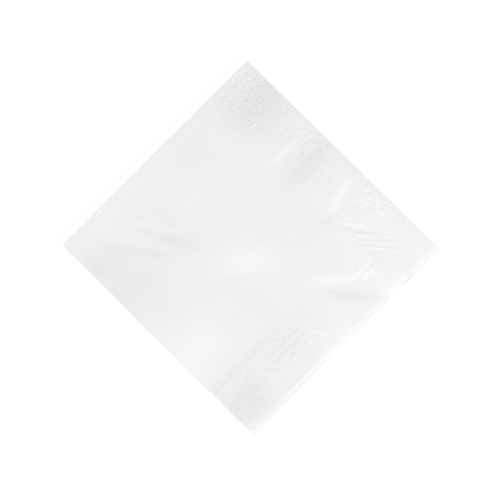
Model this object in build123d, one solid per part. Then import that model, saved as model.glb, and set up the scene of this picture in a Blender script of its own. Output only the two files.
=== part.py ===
from build123d import *
import math
import os

# A square sheet of two-ply tissue, embossed along its four edges and folded
# twice into quarters. It lies flat, with the first fold along the low Y side,
# the second fold along the low X side and the open edges on the other two.
# Millimetres, +Z up, origin under the middle of the folded square.

# The sheet as it is cut
sheet_side = 254.0
tissue_thickness = 0.25

# The embossed border, pressed in from the outer side. Counted inwards from the
# sheet's edge it has a plain margin, a rib, a band of diamonds, another rib and
# a band of small diamonds, with a plain lane between each two
edge_margin = 1.8
rib_width = 1.8
lane_width = 1.8
diamond_band = 9.0
small_diamond_band = 5.4
diamond_pitch = 9.0
diamond_width = 8.1
small_diamond_width = 4.8
emboss_depth = 0.22

# The folds. The bumps of the two leaves of a pair face each other, and the first
# fold is left open by their height and a clearance. The second crease lies off
# the middle, which leaves the lower pair longer than the upper one
bump_clearance = 0.06
first_fold_gap = 2 * emboss_depth + bump_clearance
second_fold_gap = 0.4
crease_offset = 1.3

# The cut that parts the two directions of the border at its mitred corner
cut_overrun = 5.0

# What follows from those sizes
leaf_pitch = tissue_thickness + first_fold_gap
stack_height = 4 * tissue_thickness + 2 * first_fold_gap + second_fold_gap
pair_middle = (second_fold_gap + leaf_pitch + tissue_thickness) / 2
diamonds_from_edge = edge_margin + rib_width + lane_width + diamond_band / 2
inner_rib_start = diamonds_from_edge + diamond_band / 2 + lane_width
small_from_edge = inner_rib_start + rib_width + lane_width + small_diamond_band / 2
border_depth = small_from_edge + small_diamond_band / 2
run_y = (sheet_side - math.pi * leaf_pitch / 2) / 2
run_x = (sheet_side - math.pi * pair_middle) / 2
size_x = stack_height / 2 + run_x + crease_offset
size_y = (leaf_pitch + tissue_thickness) / 2 + run_y


def pressed_line(edge, height):
    """Line across the border at one height, from its inner side to the edge."""
    points = [(edge, height)]
    for start in (edge_margin, inner_rib_start):
        for share in (0, 1 / 2, 1):
            depth = emboss_depth * (1 - abs(2 * share - 1))
            point = (edge - start - share * rib_width, height - depth)
            if point != points[-1]:
                points.append(point)
    return points[::-1]


def leaf_section(length):
    """Upper leaf of a folded pair, cut across the border at its far end."""
    top = (leaf_pitch + tissue_thickness) / 2
    bottom = (leaf_pitch - tissue_thickness) / 2
    upper = [(0, top)] + pressed_line(length, top)
    lower = [(0, bottom)] + pressed_line(length, bottom)
    return make_face(Polyline(upper + lower[::-1], close=True))


def hairpin_section():
    """Section of both leaves of a pair and the first fold that joins them."""
    leaf = leaf_section(run_y)
    ring = Circle((leaf_pitch + tissue_thickness) / 2)
    ring -= Circle((leaf_pitch - tissue_thickness) / 2)
    fold = split(ring, Plane.YZ, keep=Keep.BOTTOM)
    return leaf + mirror(leaf, Plane.XZ) + fold


def side_zone(run):
    """Plan of the border along the open X side, mitred at the free corner."""
    inner_x = run - border_depth
    plan = Polyline(
        (inner_x, -size_y),
        (run + cut_overrun, -size_y),
        (run + cut_overrun, run_y + cut_overrun),
        (inner_x, run_y - border_depth),
        close=True,
    )
    return extrude(make_face(plan), stack_height)


def long_border(run):
    """The pair with its border along the open Y side."""
    return extrude(Plane.YZ * Pos(0, pair_middle) * hairpin_section(), run)


def side_border(run):
    """The pair with its border along the open X side, carried round the first fold."""
    across = leaf_section(run)
    at_edge = Plane((0, run_y, pair_middle), x_dir=(1, 0, 0), z_dir=(0, -1, 0))
    at_fold = Plane((0, 0, pair_middle), x_dir=(1, 0, 0), z_dir=(0, -1, 0))
    upper = extrude(at_edge * across, run_y)
    lower = extrude(at_edge * mirror(across, Plane.XZ), run_y)
    fold = revolve(at_fold * across, Axis((0, 0, pair_middle), (1, 0, 0)), 180)
    return upper + lower + fold


def pit(width):
    """Four-sided hollow of one diamond, with its point down."""
    outline = Polyline((width / 2, 0), (0, width / 2), (-width / 2, 0), (0, -width / 2), close=True)
    return loft([make_face(outline), Vertex(0, 0, -emboss_depth)])


def along_border(run, from_edge, width, first):
    """Places of the diamonds of one band, counted from the free corner."""
    places = []
    step = first
    while diamonds_from_edge + step * diamond_pitch < run - width:
        along = diamonds_from_edge + step * diamond_pitch
        places.append((run - from_edge, run_y - along))
        if along != from_edge:
            places.append((run - along, run_y - from_edge))
        step += 1
    return places


def leaf_pits(run):
    """All the diamonds of one leaf, as the hollows that they leave in its top."""
    large = [
        Pos(*place) * pit(diamond_width)
        for place in along_border(run, diamonds_from_edge, diamond_width, 0)
    ]
    small = [
        Pos(*place) * pit(small_diamond_width)
        for place in along_border(run, small_from_edge, small_diamond_width, 2)
    ]
    return large + small


def folded_pair(run):
    """Two leaves joined by the first fold, from the second fold to the edge."""
    zone = side_zone(run)
    pair = (long_border(run) - zone) + (side_border(run) & zone)
    outer_face = (leaf_pitch + tissue_thickness) / 2
    pits = [Pos(0, 0, outer_face) * hollow for hollow in leaf_pits(run)]
    bumps = [Pos(0, 0, -tissue_thickness) * hollow for hollow in pits]
    pits += [mirror(hollow, Plane.XY) for hollow in pits]
    bumps += [mirror(hollow, Plane.XY) for hollow in bumps]
    middle = Pos(0, 0, pair_middle)
    return pair + [middle * bump for bump in bumps] - [middle * hollow for hollow in pits]


def second_fold():
    """The pair, first fold and all, turned over through half a circle."""
    section = Plane.YZ * Pos(0, pair_middle) * hairpin_section()
    return revolve(section, Axis((0, 0, 0), (0, -1, 0)), 180)


upper_pair = folded_pair(run_x - crease_offset)
lower_pair = mirror(folded_pair(run_x + crease_offset), Plane.XY)
napkin = upper_pair + second_fold() + lower_pair

centre = Pos((stack_height - size_x) / 2, size_y / 2 - run_y, stack_height / 2)
napkin = centre * napkin

os.makedirs("parts", exist_ok=True)
export_step(napkin, "parts/napkin_sheet.step")
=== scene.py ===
import itertools
import math
import bmesh
import bpy
import numpy as np
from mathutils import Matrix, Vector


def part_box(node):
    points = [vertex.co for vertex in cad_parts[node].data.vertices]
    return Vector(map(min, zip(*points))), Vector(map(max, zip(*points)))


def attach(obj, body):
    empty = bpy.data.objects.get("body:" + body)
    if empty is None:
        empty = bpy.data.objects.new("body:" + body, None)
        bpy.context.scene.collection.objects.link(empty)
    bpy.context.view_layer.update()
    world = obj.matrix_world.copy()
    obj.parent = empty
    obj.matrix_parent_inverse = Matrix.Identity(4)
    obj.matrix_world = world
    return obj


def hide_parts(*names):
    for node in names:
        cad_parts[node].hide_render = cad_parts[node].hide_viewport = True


bl_info = {
    "name": "Folded paper napkin",
    "version": (1, 0, 0),
    "blender": (4, 5, 0),
    "location": "View3D > Sidebar > Napkin",
    "description": "A two-ply tissue napkin with an embossed border, folded into quarters",
    "category": "Add Mesh",
}

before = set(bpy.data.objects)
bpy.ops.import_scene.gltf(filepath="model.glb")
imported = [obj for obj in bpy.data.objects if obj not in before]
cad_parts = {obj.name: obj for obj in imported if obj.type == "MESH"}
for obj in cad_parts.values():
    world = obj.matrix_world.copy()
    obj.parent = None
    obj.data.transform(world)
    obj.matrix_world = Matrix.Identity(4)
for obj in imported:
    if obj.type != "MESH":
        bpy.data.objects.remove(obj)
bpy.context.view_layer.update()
NODE = "napkin_sheet"
MM = 0.001

# The folded napkin lies with its first fold along the low Y side and its second
# fold along the low X side. Leaf A is on top, then B and C, and D lies on the
# table. A and B are the upper pair, C and D the lower one. On the flat sheet v
# is above 0 on the outer leaves A and D, and u is above the second crease on the
# upper pair. In the tables below, places on the folded square are counted from
# its middle, and places and heights are in millimetres. In the picture its left
# corner is the one at low X and low Y, and the top, right and bottom corners
# follow clockwise.

# Slopes that the tissue keeps from handling. Each is a soft step in height:
# place x, y, half width along X, reach along Y, rise towards +X, lean of its line
SLOPES = {
    "top_corner_rise": (-47, 54, 13, 20, 1.75, 0),
    "top_corner_step": (-20.5, 43, 1.6, 9, -0.15, 0),
    "border_patch_rise": (-9, 49, 6, 17, 0.65, 0),
    "border_crease": (12.3, 48, 1.7, 9, -0.19, -0.28),
    "crease_end": (17, 35, 2, 4, 0.16, 0),
    "right_corner_fall": (36, 50, 17, 16, -0.47, 0),
    "left_corner_fall": (-60, -30, 5, 26, -0.22, 0),
    "fold_corner_rise": (-45, -58, 6, 10, 0.41, 0),
    "fold_side_rise": (-26, -56, 14, 16, 0.81, 0),
    "fold_side_fall": (16, -54, 12, 16, -1.08, 0),
    "bottom_corner_step": (36, -46, 2, 24, 0.16, 0),
    "bottom_corner_rise": (50, -57, 9, 16, 1.15, 0),
    "side_band_rise": (45, -29, 8, 14, 0.47, 0),
    "left_rise": (-50, 13, 6, 8, 0.14, 0),
    "left_fall": (-37, -4, 7, 10, -0.16, 0),
    "middle_fall": (3, -7, 7, 12, -0.64, 0.5),
    "middle_rise": (-30, -26, 9, 12, 0.38, 0),
    "cross_rise": (-8, 18, 10, 12, 0.22, 0),
    "inner_border_rise": (14, 31, 8, 8, 0.19, 0),
    "side_middle_rise": (40, -6, 7, 10, 0.2, 0),
    "right_furrow_fall": (42, 21.5, 2.8, 13, -0.31, 0.72),
    "right_furrow_rise": (51, 18.5, 3.2, 10, 0.27, 1.2),
    "bottom_edge_rise": (58.5, -44, 3.5, 25, 0.18, 0),
    "corner_line_rise": (8, 32.5, 8, 2.2, 0.15, 0),
    "corner_line_fall": (36, 32.5, 12, 2.2, -0.15, 0),
    "side_middle_fall": (54, 10, 6, 12, -0.06, 0),
    "right_corner_rise": (42, 42, 4, 5, 0.12, 0),
}

# Narrow furrows (negative) and ridges: from x, y, to x, y, half width, height
FURROWS = {
    "left_streak": (-46, -30.5, -19, -17, 1.7, -0.18),
    "left_streak_above": (-48, -45.5, -26, -30, 2.2, -0.16),
    "left_streak_below": (-34, -25, -24, -14, 2.2, -0.09),
    "left_streak_beside": (-52, -42, -36, -34, 2.4, -0.11),
    "corner_line_e": (14, 33.5, 35, 45.5, 1.3, -0.08),
    "corner_line_a": (33, 38, 49, 52, 0.7, 0.04),
    "corner_line_b": (36, 37, 52, 51, 0.7, 0.04),
    "corner_line_c": (31, 41, 46, 54, 0.7, 0.04),
    "corner_line_d": (22, 33, 36, 45, 0.9, 0.05),
}

# The napkin is folded a little out of square. Each corner of the folded square,
# by its shares along X and Y, lies this far off along X and Y, in millimetres
CORNER_SHIFTS = {
    (0, 0): (-0.1, 0.4),
    (0, 1): (0.1, -1),
    (1, 0): (1.4, 0.7),
    (1, 1): (0.9, 0.3),
}

# One motif of the embossed border, as rows of dots counted inwards from the
# sheet's edge: a plain margin, a rib, a diamond, another rib and a small diamond,
# with a plain lane between each two. Each o is a pressed dot
MOTIF = (
    "..........",
    "..........",
    "o.o.o.o.o.",
    ".o.o.o.o.o",
    "..........",
    "o.........",
    ".o...o...o",
    "o...o.o...",
    "...o.o.o..",
    "..o.o.o.o.",
    ".o.o.o.o.o",
    "..o.o.o.o.",
    "...o.o.o..",
    "o...o.o...",
    ".o...o...o",
    "o.........",
    "..........",
    "o.o.o.o.o.",
    ".o.o.o.o.o",
    "..........",
    "..........",
    "o....o....",
    ".o..o.o..o",
    "...o.o.o..",
    ".o..o.o..o",
    "o....o....",
    "..........",
    "..........",
)
DOTS = np.array([[cell == "o" for cell in row] for row in MOTIF])
# The column that crosses the first row on the mitre
MITRE_COLUMN = 5
# Dot places along one square of the widest mesh
DOTS_PER_SQUARE = 4

# The dots are pressed unevenly. A slow wave crosses the sheet along u and one
# along v, each with its dots to a radian and its start in radians, and a dot is
# so many radians away from the next one in its line and in its column
WAVE_U = (7.4, 0.6)
WAVE_V = (8.6, 1.9)
TO_NEXT_DOT = (12.9, 79.6)
# Shares of the unevenness that all dots have, that comes from those waves and
# that comes from the single dot
EVEN_SHARE, WAVE_SHARE, DOT_SHARE = 0.5, 0.12, 0.38

# Mesh lines round a bend, as shares of half its length from the crease
BEND_SHARES = (-1, -0.97, -0.88, -0.68, -0.5, -0.32, 0, 0.32, 0.5, 0.68, 0.88, 0.97, 1)
# Nearest that the other lines come to a bend, as a share of the widest mesh
NEAREST_SHARE = 0.2
# How often the widest mesh is halved: where the border or leaf C's edge is seen
# from above, in the border underneath, and on the rest of the top leaf
HALVINGS_ABOVE = 3
HALVINGS_BELOW = 2
HALVINGS_PLAIN = 1

# Places of the two colours and of the result among the sockets of a Mix node
MIX_FIRST, MIX_SECOND, MIX_RESULT = 6, 7, 2


def length(name, text, millimetres):
    return bpy.props.FloatProperty(
        name=name, description=text, default=millimetres * MM, precision=5, subtype="DISTANCE", unit="LENGTH"
    )


def angle(name, text, degrees):
    return bpy.props.FloatProperty(
        name=name, description=text, default=math.radians(degrees), subtype="ANGLE"
    )


def number(name, text, value):
    return bpy.props.FloatProperty(name=name, description=text, default=value)


def count(name, text, value):
    return bpy.props.IntProperty(name=name, description=text, default=value, min=1)


def colour(name, text, hex_code):
    return bpy.props.StringProperty(name=name, description=text, default=hex_code)


class NapkinSheet(bpy.types.PropertyGroup):
    side: length("Sheet side", "Side of the flat square sheet", 254)
    thickness: length("Thickness", "Both plies together", 0.25)
    first_gap: length("First gap", "Clear height between the two leaves of a pair", 0.5)
    second_gap: length("Second gap", "Clear height between the two pairs", 0.4)
    crease_offset: length("Crease offset", "How far the second crease lies off the middle", 1.3)
    follow_inner: number("Inner follow", "Share of the swell that leaf B follows where it rises", 0.86)
    follow_lower: number("Lower follow", "Share of the swell that leaf C follows where it rises", 0.06)
    sink_inner: number("Inner sink", "Share of the swell that leaf B follows where it sinks", 0.72)
    sink_lower: number("Lower sink", "Share of the swell that leaf C follows where it sinks", 0.36)
    squareness: number("Squareness", "How square the second fold is pressed, 2 for round", 34)
    smooth_angle: angle("Smooth angle", "Sharpest bend between two faces that is shaded smooth", 40)


class NapkinEdges(bpy.types.PropertyGroup):
    droop: length("Droop", "How far the upper pair and leaf C droop at the open X edge", 0.18)
    droop_reach: length("Droop reach", "Width over which that droop dies away", 5)
    wave: length("Wave", "Length of the waves in that width", 46)
    wave_share: number("Wave share", "How much that width changes along a wave", 0.3)
    lip: length("Lip", "How far leaf C bulges just beyond leaf A's edge", 0.07)
    lip_place: length("Lip place", "From leaf C's edge to the top of that bulge", 1.7)
    lip_width: length("Lip width", "Half the width of that bulge", 1.3)
    curl: length("Curl", "How far leaf C's edge is curled up at one place", 0.08)
    curl_width: length("Curl width", "Width of the curled edge", 0.5)
    curl_place: length("Curl place", "Place of the curl along Y", 43)
    curl_length: length("Curl length", "Half the length of the curl", 3.6)
    lift_reach: length("Lift reach", "How far in from the open X edge the inner leaves begin to rise", 22)
    lift: length("Lift", "How far leaf C springs up to the upper pair there", 0.64)
    lift_inner: length("Inner lift", "How far leaf B springs up to leaf A there", 0.37)
    tuck: length("Tuck", "How far leaf B's edge lies in from leaf A's", 1.2)
    tuck_reach: length("Tuck reach", "Width over which leaf B is drawn in", 12)
    bead: length("Bead", "How far the upper pair swells along the second fold", 0.04)
    bead_reach: length("Bead reach", "Width beside that fold over which the swelling dies away", 0.5)
    side_reach: length("Side reach", "Half the width over which the open Y edge turns down", 0.7)
    side_depth: length("Side depth", "How far the open Y edge of the top leaf turns down", 0.1)


class NapkinBorder(bpy.types.PropertyGroup):
    squares: count("Squares", "Squares of the widest mesh along one side of the flat sheet", 70)
    depth: length("Depth", "How deep a dot is pressed at most", 0.11)
    dot_reach: number("Dot reach", "Half the width of a dot as a share of the dots' spacing", 0.9)
    unevenness: number("Unevenness", "How much the depth comes and goes along the border, 1 for most", 0.92)
    fade: length("Fade", "Width over which the dots deepen, starting half of it from a fold", 2.4)
    worn: length("Worn", "Width beside the open X edge in which the dots are rubbed flatter", 4.5)


class NapkinFinish(bpy.types.PropertyGroup):
    pale: colour("Pale", "Colour of the thick parts of the tissue", "#F5F4F4")
    shade: colour("Shade", "Colour of the thin parts of the tissue", "#F1F0F1")
    roughness: number("Roughness", "Roughness of the tissue", 0.95)
    clump: length("Clump", "Width of the clumps of fibre", 2.822)
    crepe_pitch: length("Crepe pitch", "From one crepe wrinkle to the next", 1.2)
    crepe_length: length("Crepe length", "Length of a crepe wrinkle", 6)
    fuzz: length("Fuzz", "Grain of the fibre's fuzz", 0.508)
    bump_height: length("Bump height", "Height of the wrinkles and the fuzz", 0.12)
    bump_strength: number("Bump strength", "Strength of the wrinkles and the fuzz", 0.42)


class NapkinStage(bpy.types.PropertyGroup):
    view_width: length("View width", "Width of the picture at the napkin", 240.7)
    view_height: length("Camera height", "Height of the camera above the table", 1500)
    view_drop: length("View drop", "How far the middle of the picture is below the napkin's middle", 1.4)
    view_turn: angle("View turn", "How far the napkin is turned in the picture", 45)
    view_end: length("View end", "How far the camera sees", 20000)
    sensor: number("Sensor", "Width of the camera's sensor in millimetres", 36)
    table_side: length("Table side", "Side of the square table", 6000)
    table_drop: length("Table drop", "Hair's breadth between the table and the napkin", 0.02)
    table_white: number("Table white", "Share of its light that the table throws back on the napkin", 0.8)
    table_shade: number("Table shade", "Share of its light that the table shows in the picture", 0.12)
    table_glow: number("Table glow", "White that the table shows in the picture besides", 0.94)
    lamp_distance: length("Lamp distance", "From the napkin to each lamp", 4500)
    lamp_size: length("Lamp size", "Side of each square lamp", 1800)
    key_power: number("Key power", "Watts of the key lamp", 356)
    key_height: angle("Key height", "Angle of the key lamp above the table", 20)
    key_turn: angle("Key turn", "Direction of the key lamp from +X, anticlockwise", 0)
    card_power: number("Card power", "Watts of the weak lamp opposite the key lamp", 65)
    side_power: number("Side power", "Watts of the weak lamp on the first fold's side", 20)
    card_height: angle("Card height", "Angle of the weak lamps above the table", 12)
    fill: number("Fill", "Strength of the even light all round", 0.32)


def sizes():
    """Sizes of the sheet, as the panel has them."""
    return bpy.context.scene.napkin_sheet


def bend_radii():
    """Radius of the first fold, to a leaf's middle, and of the second fold, to a pair's middle."""
    sheet = sizes()
    leaf_radius = (sheet.thickness + sheet.first_gap) / 2
    pair_radius = (sheet.second_gap + sheet.first_gap) / 2 + sheet.thickness
    return leaf_radius, pair_radius


def soft_step(distance):
    """Smooth step from 0 to 1, half way up at distance 0."""
    return 0.5 + 0.5 * np.tanh(distance)


def swell(x, y):
    """Height that the upper pair rises above its flat place, at plan places x, y in millimetres."""
    height = np.zeros_like(x)
    for at_x, at_y, half_width, reach, rise, lean in SLOPES.values():
        line = at_x + lean * (y - at_y)
        height += rise * soft_step((x - line) / half_width) * np.exp(-(((y - at_y) / reach) ** 4))
    for from_x, from_y, to_x, to_y, half_width, rise in FURROWS.values():
        span = math.hypot(to_x - from_x, to_y - from_y)
        along_x, along_y = (to_x - from_x) / span, (to_y - from_y) / span
        along = (x - from_x) * along_x + (y - from_y) * along_y
        across = (y - from_y) * along_x - (x - from_x) * along_y
        ends = soft_step(along / (2 * half_width)) * soft_step((span - along) / (2 * half_width))
        height += rise * ends * np.exp(-((across / half_width) ** 2))
    return height


def dot_depth(u, v):
    """How deep the embossing is at flat places u, v, from 0 to 1. The leaves that lie inside stay plain."""
    border = bpy.context.scene.napkin_border
    sheet = sizes()
    spacing = sheet.side / border.squares / DOTS_PER_SQUARE
    from_u = (sheet.side / 2 - np.abs(u)) / spacing
    from_v = (sheet.side / 2 - np.abs(v)) / spacing
    rows, columns = DOTS.shape
    by_wave = np.sin(u / spacing / WAVE_U[0] + WAVE_U[1]) * np.sin(v / spacing / WAVE_V[0] + WAVE_V[1])
    deepest = np.zeros_like(u)
    for step_u, step_v in itertools.product((-1, 0, 1), repeat=2):
        column, line = np.rint(from_u) + step_u, np.rint(from_v) + step_v
        row = np.minimum(column, line).astype(int)
        place = (np.maximum(column, line) + MITRE_COLUMN).astype(int) % columns
        pressed = DOTS[np.clip(row, 0, rows - 1), place] & (row < rows)
        cone = np.clip(1 - np.hypot(from_u - column, from_v - line) / border.dot_reach, 0, 1)
        by_dot = np.sin(TO_NEXT_DOT[0] * column + TO_NEXT_DOT[1] * line)
        uneven = border.unevenness * (EVEN_SHARE + WAVE_SHARE * by_wave + DOT_SHARE * by_dot)
        deepest = np.maximum(deepest, pressed * cone * (1 - uneven) ** 2)
    from_crease = np.minimum(np.abs(u - sheet.crease_offset), np.abs(v))
    worn = np.clip(from_u * spacing / border.worn, 0, 1)
    return deepest * (v > 0) * worn * np.clip(from_crease / border.fade - 0.5, 0, 1)


def round_first_fold(u, v):
    """Bend the sheet round the first fold, with its dots pressed in.

    Gives the place along Y, the height over the middle of the pair, and how far
    each place belongs to the outer leaf of the pair, from 0 to 1.
    """
    radius, _ = bend_radii()
    low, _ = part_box(NODE)
    fold_y = low[1] + radius + sizes().thickness / 2
    bend = np.clip(v / radius, -math.pi / 2, math.pi / 2)
    straight = np.abs(v) - radius * np.abs(bend)
    pressed = radius - bpy.context.scene.napkin_border.depth * dot_depth(u, v)
    y = fold_y + straight - pressed * np.cos(bend)
    return y, pressed * np.sin(bend), (1 + np.sin(bend)) / 2


def round_second_fold(u, out):
    """Bend the pair round the second fold, which is pressed square.

    Takes the height over the middle of the pair as out. Gives the place along X,
    the height over the table, how far each place belongs to the upper pair, from
    0 to 1, and its distance from the outer side of the fold.
    """
    sheet = sizes()
    leaf_radius, radius = bend_radii()
    low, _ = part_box(NODE)
    height = radius + leaf_radius + sheet.thickness / 2
    fold_x = low[0] + height
    along = u - sheet.crease_offset
    bend = np.clip(along / radius, -math.pi / 2, math.pi / 2)
    bulge = np.abs(np.cos(bend)) ** (2 / sheet.squareness)
    rise = np.sign(bend) * np.abs(np.sin(bend)) ** (2 / sheet.squareness)
    straight = np.abs(along) - radius * np.abs(bend)
    x = fold_x + straight - (radius + out) * bulge
    z = height + (radius + out) * rise
    return x, z, (1 + np.sin(bend)) / 2, straight + (radius + out) * (1 - bulge)


def out_of_square(x, y):
    """Shift places x, y as the corners of the folded square are off, the nearest corner the most."""
    low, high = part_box(NODE)
    share_x = (x - low[0]) / (high[0] - low[0])
    share_y = (y - low[1]) / (high[1] - low[1])
    for (at_x, at_y), (shift_x, shift_y) in CORNER_SHIFTS.items():
        weight = (1 - np.abs(share_x - at_x)) * (1 - np.abs(share_y - at_y))
        x = x + weight * shift_x * MM
        y = y + weight * shift_y * MM
    return x, y


def folded(u, v):
    """Places in space of the flat places u, v, folded twice and shaped as handling left them."""
    sheet = sizes()
    edges = bpy.context.scene.napkin_edges
    y, out, outer = round_first_fold(u, v)
    x, z, upper, from_fold = round_second_fold(u, out)
    leaf_c = (1 - upper) * (1 - outer)
    along = u - sheet.crease_offset
    from_edge = sheet.side / 2 - np.sign(along) * sheet.crease_offset - np.abs(along)
    from_side = sheet.side / 2 - np.abs(v)
    # The inner leaves spring up at the open X edge, by half at two thirds of the reach
    springs = soft_step(2 - 3 * from_edge / edges.lift_reach) * (1 - outer)

    # The leaves swell and sink, B and C less than A, and D stays on the table
    rise = swell(x / MM, y / MM) * MM
    inner = np.where(rise < 0, sheet.sink_inner + (1 - sheet.sink_inner) * springs, sheet.follow_inner)
    lower = np.where(rise < 0, sheet.sink_lower, sheet.follow_lower)
    z += upper * (inner + (1 - inner) * outer) * rise
    z += leaf_c * (lower + (inner - lower) * springs) * rise

    # The second fold and the open edges
    z += upper * edges.bead * np.exp(-from_fold / edges.bead_reach)
    wave = 1 + edges.wave_share * np.sin(2 * math.pi * y / edges.wave)
    z -= (upper + leaf_c) * edges.droop * np.exp(-from_edge / (edges.droop_reach * wave))
    z += leaf_c * edges.lip * np.exp(-(((from_edge - edges.lip_place) / edges.lip_width) ** 2))
    curled = edges.curl * np.exp(-(((y - edges.curl_place) / edges.curl_length) ** 4))
    z += leaf_c * curled * np.clip(1 - from_edge / edges.curl_width, 0, 1)
    z -= upper * outer * edges.side_depth * soft_step(1 - from_side / edges.side_reach)
    z += springs * (upper * edges.lift_inner + (1 - upper) * edges.lift)
    x -= upper * (1 - outer) * edges.tuck * np.clip(1 - from_edge / edges.tuck_reach, 0, 1)
    x, y = out_of_square(x, y)
    return x, y, z


def cut_lines(crease, bend_length):
    """Places of the widest mesh lines across the flat sheet, with close lines round the bend at a crease."""
    side = sizes().side
    squares = bpy.context.scene.napkin_border.squares
    pitch = side / squares
    lines = [place * pitch - side / 2 for place in range(squares + 1)]
    lines = [line for line in lines if abs(line - crease) > bend_length / 2 + pitch * NEAREST_SHARE]
    lines += [crease + share * bend_length / 2 for share in BEND_SHARES]
    return sorted(lines)


def halvings(u, v, bends):
    """How often the widest mesh is halved at a flat place."""
    sheet = sizes()
    pitch = sheet.side / bpy.context.scene.napkin_border.squares
    if abs(u - sheet.crease_offset) < bends[0] / 2 or abs(v) < bends[1] / 2:
        return HALVINGS_PLAIN if u > sheet.crease_offset and v > 0 else 0
    if v <= 0:
        beyond_leaf_a = u < pitch - sheet.side / 2
        return HALVINGS_ABOVE if beyond_leaf_a else 0
    from_edge = sheet.side / 2 - max(abs(u), abs(v))
    in_border = from_edge < pitch * len(MOTIF) / DOTS_PER_SQUARE
    if u > sheet.crease_offset:
        return HALVINGS_ABOVE if in_border else HALVINGS_PLAIN
    return HALVINGS_BELOW if in_border else 0


def flat_sheet():
    """The flat sheet as a net of squares, halved where the folded napkin shows fine relief."""
    leaf_radius, pair_radius = bend_radii()
    bends = (math.pi * pair_radius, math.pi * leaf_radius)
    across = cut_lines(sizes().crease_offset, bends[0])
    down = cut_lines(0, bends[1])
    net = bmesh.new()
    rows = [[net.verts.new((u, v, 0)) for u in across] for v in down]
    for lower, upper in zip(rows, rows[1:]):
        for place in range(len(across) - 1):
            net.faces.new((lower[place], lower[place + 1], upper[place + 1], upper[place]))
    for step in range(1, HALVINGS_ABOVE + 1):
        halved = set()
        for face in net.faces:
            middle = face.calc_center_median()
            if halvings(middle.x, middle.y, bends) >= step:
                halved.update(face.edges)
        bmesh.ops.subdivide_edges(net, edges=list(halved), cuts=1, use_grid_fill=True)
    return net


def map_flat(mesh, u, v):
    """Give the mesh a UV map of its flat places, from 0 to 1 across the sheet."""
    side = sizes().side
    corners = np.empty(len(mesh.loops), dtype=np.int32)
    mesh.loops.foreach_get("vertex_index", corners)
    spread = np.column_stack((u[corners] / side + 0.5, v[corners] / side + 0.5))
    mesh.uv_layers.new(name="flat").data.foreach_set("uv", spread.ravel())


def linear(hex_code):
    """Linear colour of an sRGB hex code."""
    channels = []
    for place in (1, 3, 5):
        value = int(hex_code[place:place + 2], 16) / 255
        channels.append(value / 12.92 if value <= 0.04045 else ((value + 0.055) / 1.055) ** 2.4)
    return (*channels, 1)


def grey(share):
    """Linear colour that throws back this share of the light."""
    return (share, share, share, 1)


def bare_tree(owner):
    """Node tree of a material or a world, with no nodes in it."""
    owner.use_nodes = True
    owner.node_tree.nodes.clear()
    return owner.node_tree


def add_node(tree, kind, settings=None, sources=(), **links):
    """Add a shader node with its settings and its links from other nodes.

    The sources are linked to its first inputs in order, and the links to the
    inputs that they name.
    """
    node = tree.nodes.new(kind)
    for name, value in (settings or {}).items():
        if name in node.inputs:
            node.inputs[name].default_value = value
        else:
            setattr(node, name, value)
    for place, source in enumerate(sources):
        tree.links.new(source, node.inputs[place])
    for name, source in links.items():
        tree.links.new(source, node.inputs[name.replace("_", " ")])
    return node


def tissue_material():
    """Two-ply tissue, creped and pressed: soft white, without shine, with fine wrinkles across the sheet."""
    finish = bpy.context.scene.napkin_finish
    side = sizes().side
    material = bpy.data.materials.new("creped_tissue")
    tree = bare_tree(material)
    flat = add_node(tree, "ShaderNodeUVMap", {"uv_map": "flat"}).outputs["UV"]
    # Clumps of fibre a few millimetres wide, in which the tissue is thicker and paler
    clumps = add_node(
        tree, "ShaderNodeTexNoise",
        {"Scale": side / finish.clump, "Detail": 4, "Roughness": 0.6},
        Vector=flat,
    )
    tone = add_node(tree, "ShaderNodeMix", {"data_type": "RGBA"}, Factor=clumps.outputs["Fac"])
    tone.inputs[MIX_FIRST].default_value = linear(finish.shade)
    tone.inputs[MIX_SECOND].default_value = linear(finish.pale)
    # Crepe wrinkles about a millimetre apart, drawn coarser than the real ones so that they show
    wrinkle_scale = (side / finish.crepe_pitch, side / finish.crepe_length, 1)
    stretch = add_node(tree, "ShaderNodeMapping", {"Scale": wrinkle_scale}, Vector=flat)
    crepe = add_node(
        tree, "ShaderNodeTexNoise",
        {"Scale": 1, "Detail": 5, "Roughness": 0.65},
        Vector=stretch.outputs["Vector"],
    )
    # Fuzz of loose fibres, drawn coarser than the real one for the same reason
    fuzz = add_node(
        tree, "ShaderNodeTexNoise",
        {"Scale": side / finish.fuzz, "Detail": 3, "Roughness": 0.7},
        Vector=flat,
    )
    both = (crepe.outputs["Fac"], fuzz.outputs["Fac"])
    relief = add_node(tree, "ShaderNodeMath", {"operation": "ADD"}, both)
    bump = add_node(
        tree, "ShaderNodeBump",
        {"Strength": finish.bump_strength, "Distance": finish.bump_height},
        Height=relief.outputs["Value"],
    )
    skin = add_node(
        tree, "ShaderNodeBsdfPrincipled",
        {"Roughness": finish.roughness, "IOR": 1.45, "Specular IOR Level": 0.2, "Sheen Weight": 0.05},
        Base_Color=tone.outputs[MIX_RESULT], Normal=bump.outputs["Normal"],
    )
    add_node(tree, "ShaderNodeOutputMaterial", Surface=skin.outputs["BSDF"])
    return material


def seen_directly(tree):
    """Socket that is 1 for what the camera sees, also in gloss or through glass, and 0 for other light."""
    path = add_node(tree, "ShaderNodeLightPath")
    seen = path.outputs["Is Camera Ray"]
    for ray in ("Is Glossy Ray", "Is Transmission Ray"):
        larger = add_node(tree, "ShaderNodeMath", {"operation": "MAXIMUM"}, (seen, path.outputs[ray]))
        seen = larger.outputs["Value"]
    return seen


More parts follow.
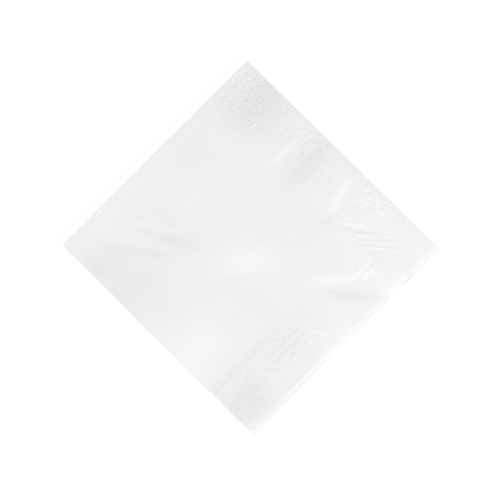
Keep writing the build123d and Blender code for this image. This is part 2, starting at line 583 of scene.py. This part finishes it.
def even_light(strength):
    """Even light all round, which shows as plain white behind the table."""
    world = bpy.data.worlds.new("even_light")
    tree = bare_tree(world)
    around = add_node(tree, "ShaderNodeBackground", {"Color": grey(1), "Strength": strength})
    white = add_node(tree, "ShaderNodeBackground", {"Color": grey(1), "Strength": 1})
    choice = (seen_directly(tree), around.outputs["Background"], white.outputs["Background"])
    mix = add_node(tree, "ShaderNodeMixShader", sources=choice)
    add_node(tree, "ShaderNodeOutputWorld", Surface=mix.outputs["Shader"])
    return world


def table_material():
    """White board: shows as plain white, and darkens where the napkin keeps the light off it."""
    stage = bpy.context.scene.napkin_stage
    material = bpy.data.materials.new("white_board")
    tree = bare_tree(material)
    board = add_node(tree, "ShaderNodeBsdfDiffuse", {"Color": grey(stage.table_white)})
    shade = add_node(tree, "ShaderNodeBsdfDiffuse", {"Color": grey(stage.table_shade)})
    glow = add_node(tree, "ShaderNodeEmission", {"Color": grey(1), "Strength": stage.table_glow})
    shown = add_node(tree, "ShaderNodeAddShader", sources=(shade.outputs["BSDF"], glow.outputs["Emission"]))
    choice = (seen_directly(tree), board.outputs["BSDF"], shown.outputs["Shader"])
    mix = add_node(tree, "ShaderNodeMixShader", sources=choice)
    add_node(tree, "ShaderNodeOutputMaterial", Surface=mix.outputs["Shader"])
    return material


def add_lamp(name, power, rise, turn):
    """Hang a square lamp that faces the napkin, at an angle above the table and a direction round it."""
    stage = bpy.context.scene.napkin_stage
    lamp = bpy.data.lights.new(name, "AREA")
    lamp.energy = power
    lamp.size = stage.lamp_size
    source = bpy.data.objects.new(name, lamp)
    level = math.cos(rise)
    direction = (level * math.cos(turn), level * math.sin(turn), math.sin(rise))
    source.location = [stage.lamp_distance * share for share in direction]
    source.rotation_euler = (0, math.pi / 2 - rise, turn)
    bpy.context.scene.collection.objects.link(source)


def add_camera():
    """Hang the camera straight above the napkin, turned so that the napkin stands on a corner."""
    scene = bpy.context.scene
    stage = scene.napkin_stage
    lens = bpy.data.cameras.new("camera")
    lens.sensor_width = stage.sensor
    lens.lens = stage.sensor * stage.view_height / stage.view_width
    lens.clip_end = stage.view_end
    camera = bpy.data.objects.new("camera", lens)
    middle_x = stage.view_drop * math.sin(stage.view_turn)
    middle_y = -stage.view_drop * math.cos(stage.view_turn)
    camera.location = (middle_x, middle_y, stage.view_height)
    camera.rotation_euler = (0, 0, stage.view_turn)
    scene.collection.objects.link(camera)
    scene.camera = camera


class NAPKIN_OT_stage(bpy.types.Operator):
    """Lay out the table, the lamps and the camera"""

    bl_idname = "napkin.stage"
    bl_label = "Set the stage"

    def execute(self, context):
        stage = context.scene.napkin_stage
        bpy.ops.object.select_all(action="DESELECT")
        bpy.ops.mesh.primitive_plane_add(size=stage.table_side, location=(0, 0, -stage.table_drop))
        table = context.active_object
        table.name = "table"
        table.data.materials.append(table_material())
        context.scene.world = even_light(stage.fill)
        add_lamp("key", stage.key_power, stage.key_height, stage.key_turn)
        add_lamp("card", stage.card_power, stage.card_height, stage.key_turn + math.pi)
        add_lamp("side", stage.side_power, stage.card_height, stage.key_turn - math.pi / 2)
        add_camera()
        context.scene.view_settings.view_transform = "Standard"
        return {"FINISHED"}


class NAPKIN_OT_sheet(bpy.types.Operator):
    """Cut, emboss and fold the tissue sheet"""

    bl_idname = "napkin.sheet"
    bl_label = "Fold the napkin"

    def execute(self, context):
        net = flat_sheet()
        mesh = bpy.data.meshes.new("tissue_sheet")
        net.to_mesh(mesh)
        net.free()
        flat = np.empty(len(mesh.vertices) * 3)
        mesh.vertices.foreach_get("co", flat)
        u, v = flat[0::3], flat[1::3]
        map_flat(mesh, u, v)
        mesh.vertices.foreach_set("co", np.column_stack(folded(u, v)).ravel())
        mesh.update()
        piece = bpy.data.objects.new("tissue_sheet", mesh)
        context.scene.collection.objects.link(piece)
        bpy.ops.object.select_all(action="DESELECT")
        context.view_layer.objects.active = piece
        piece.select_set(True)
        wall = piece.modifiers.new("wall", "SOLIDIFY")
        wall.thickness = sizes().thickness
        wall.offset = 0
        bpy.ops.object.modifier_apply(modifier=wall.name)
        bpy.ops.object.shade_smooth_by_angle(angle=sizes().smooth_angle)
        mesh.materials.append(tissue_material())
        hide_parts(NODE)
        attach(piece, "root")
        return {"FINISHED"}


class NAPKIN_PT_panel(bpy.types.Panel):
    bl_label = "Napkin"
    bl_idname = "NAPKIN_PT_panel"
    bl_space_type = "VIEW_3D"
    bl_region_type = "UI"
    bl_category = "Napkin"

    def draw(self, context):
        for group in GROUPS:
            values = getattr(context.scene, group)
            for name in values.bl_rna.properties.keys():
                if name not in ("rna_type", "name"):
                    self.layout.prop(values, name)
        self.layout.operator(NAPKIN_OT_stage.bl_idname)
        self.layout.operator(NAPKIN_OT_sheet.bl_idname)


GROUPS = {
    "napkin_sheet": NapkinSheet,
    "napkin_edges": NapkinEdges,
    "napkin_border": NapkinBorder,
    "napkin_finish": NapkinFinish,
    "napkin_stage": NapkinStage,
}
CLASSES = (*GROUPS.values(), NAPKIN_OT_stage, NAPKIN_OT_sheet, NAPKIN_PT_panel)


def register():
    for item in CLASSES:
        bpy.utils.register_class(item)
    for name, group in GROUPS.items():
        setattr(bpy.types.Scene, name, bpy.props.PointerProperty(type=group))


def unregister():
    for name in GROUPS:
        delattr(bpy.types.Scene, name)
    for item in reversed(CLASSES):
        bpy.utils.unregister_class(item)


def main():
    register()
    bpy.ops.napkin.stage()
    bpy.ops.napkin.sheet()


if __name__ == "__main__":
    main()
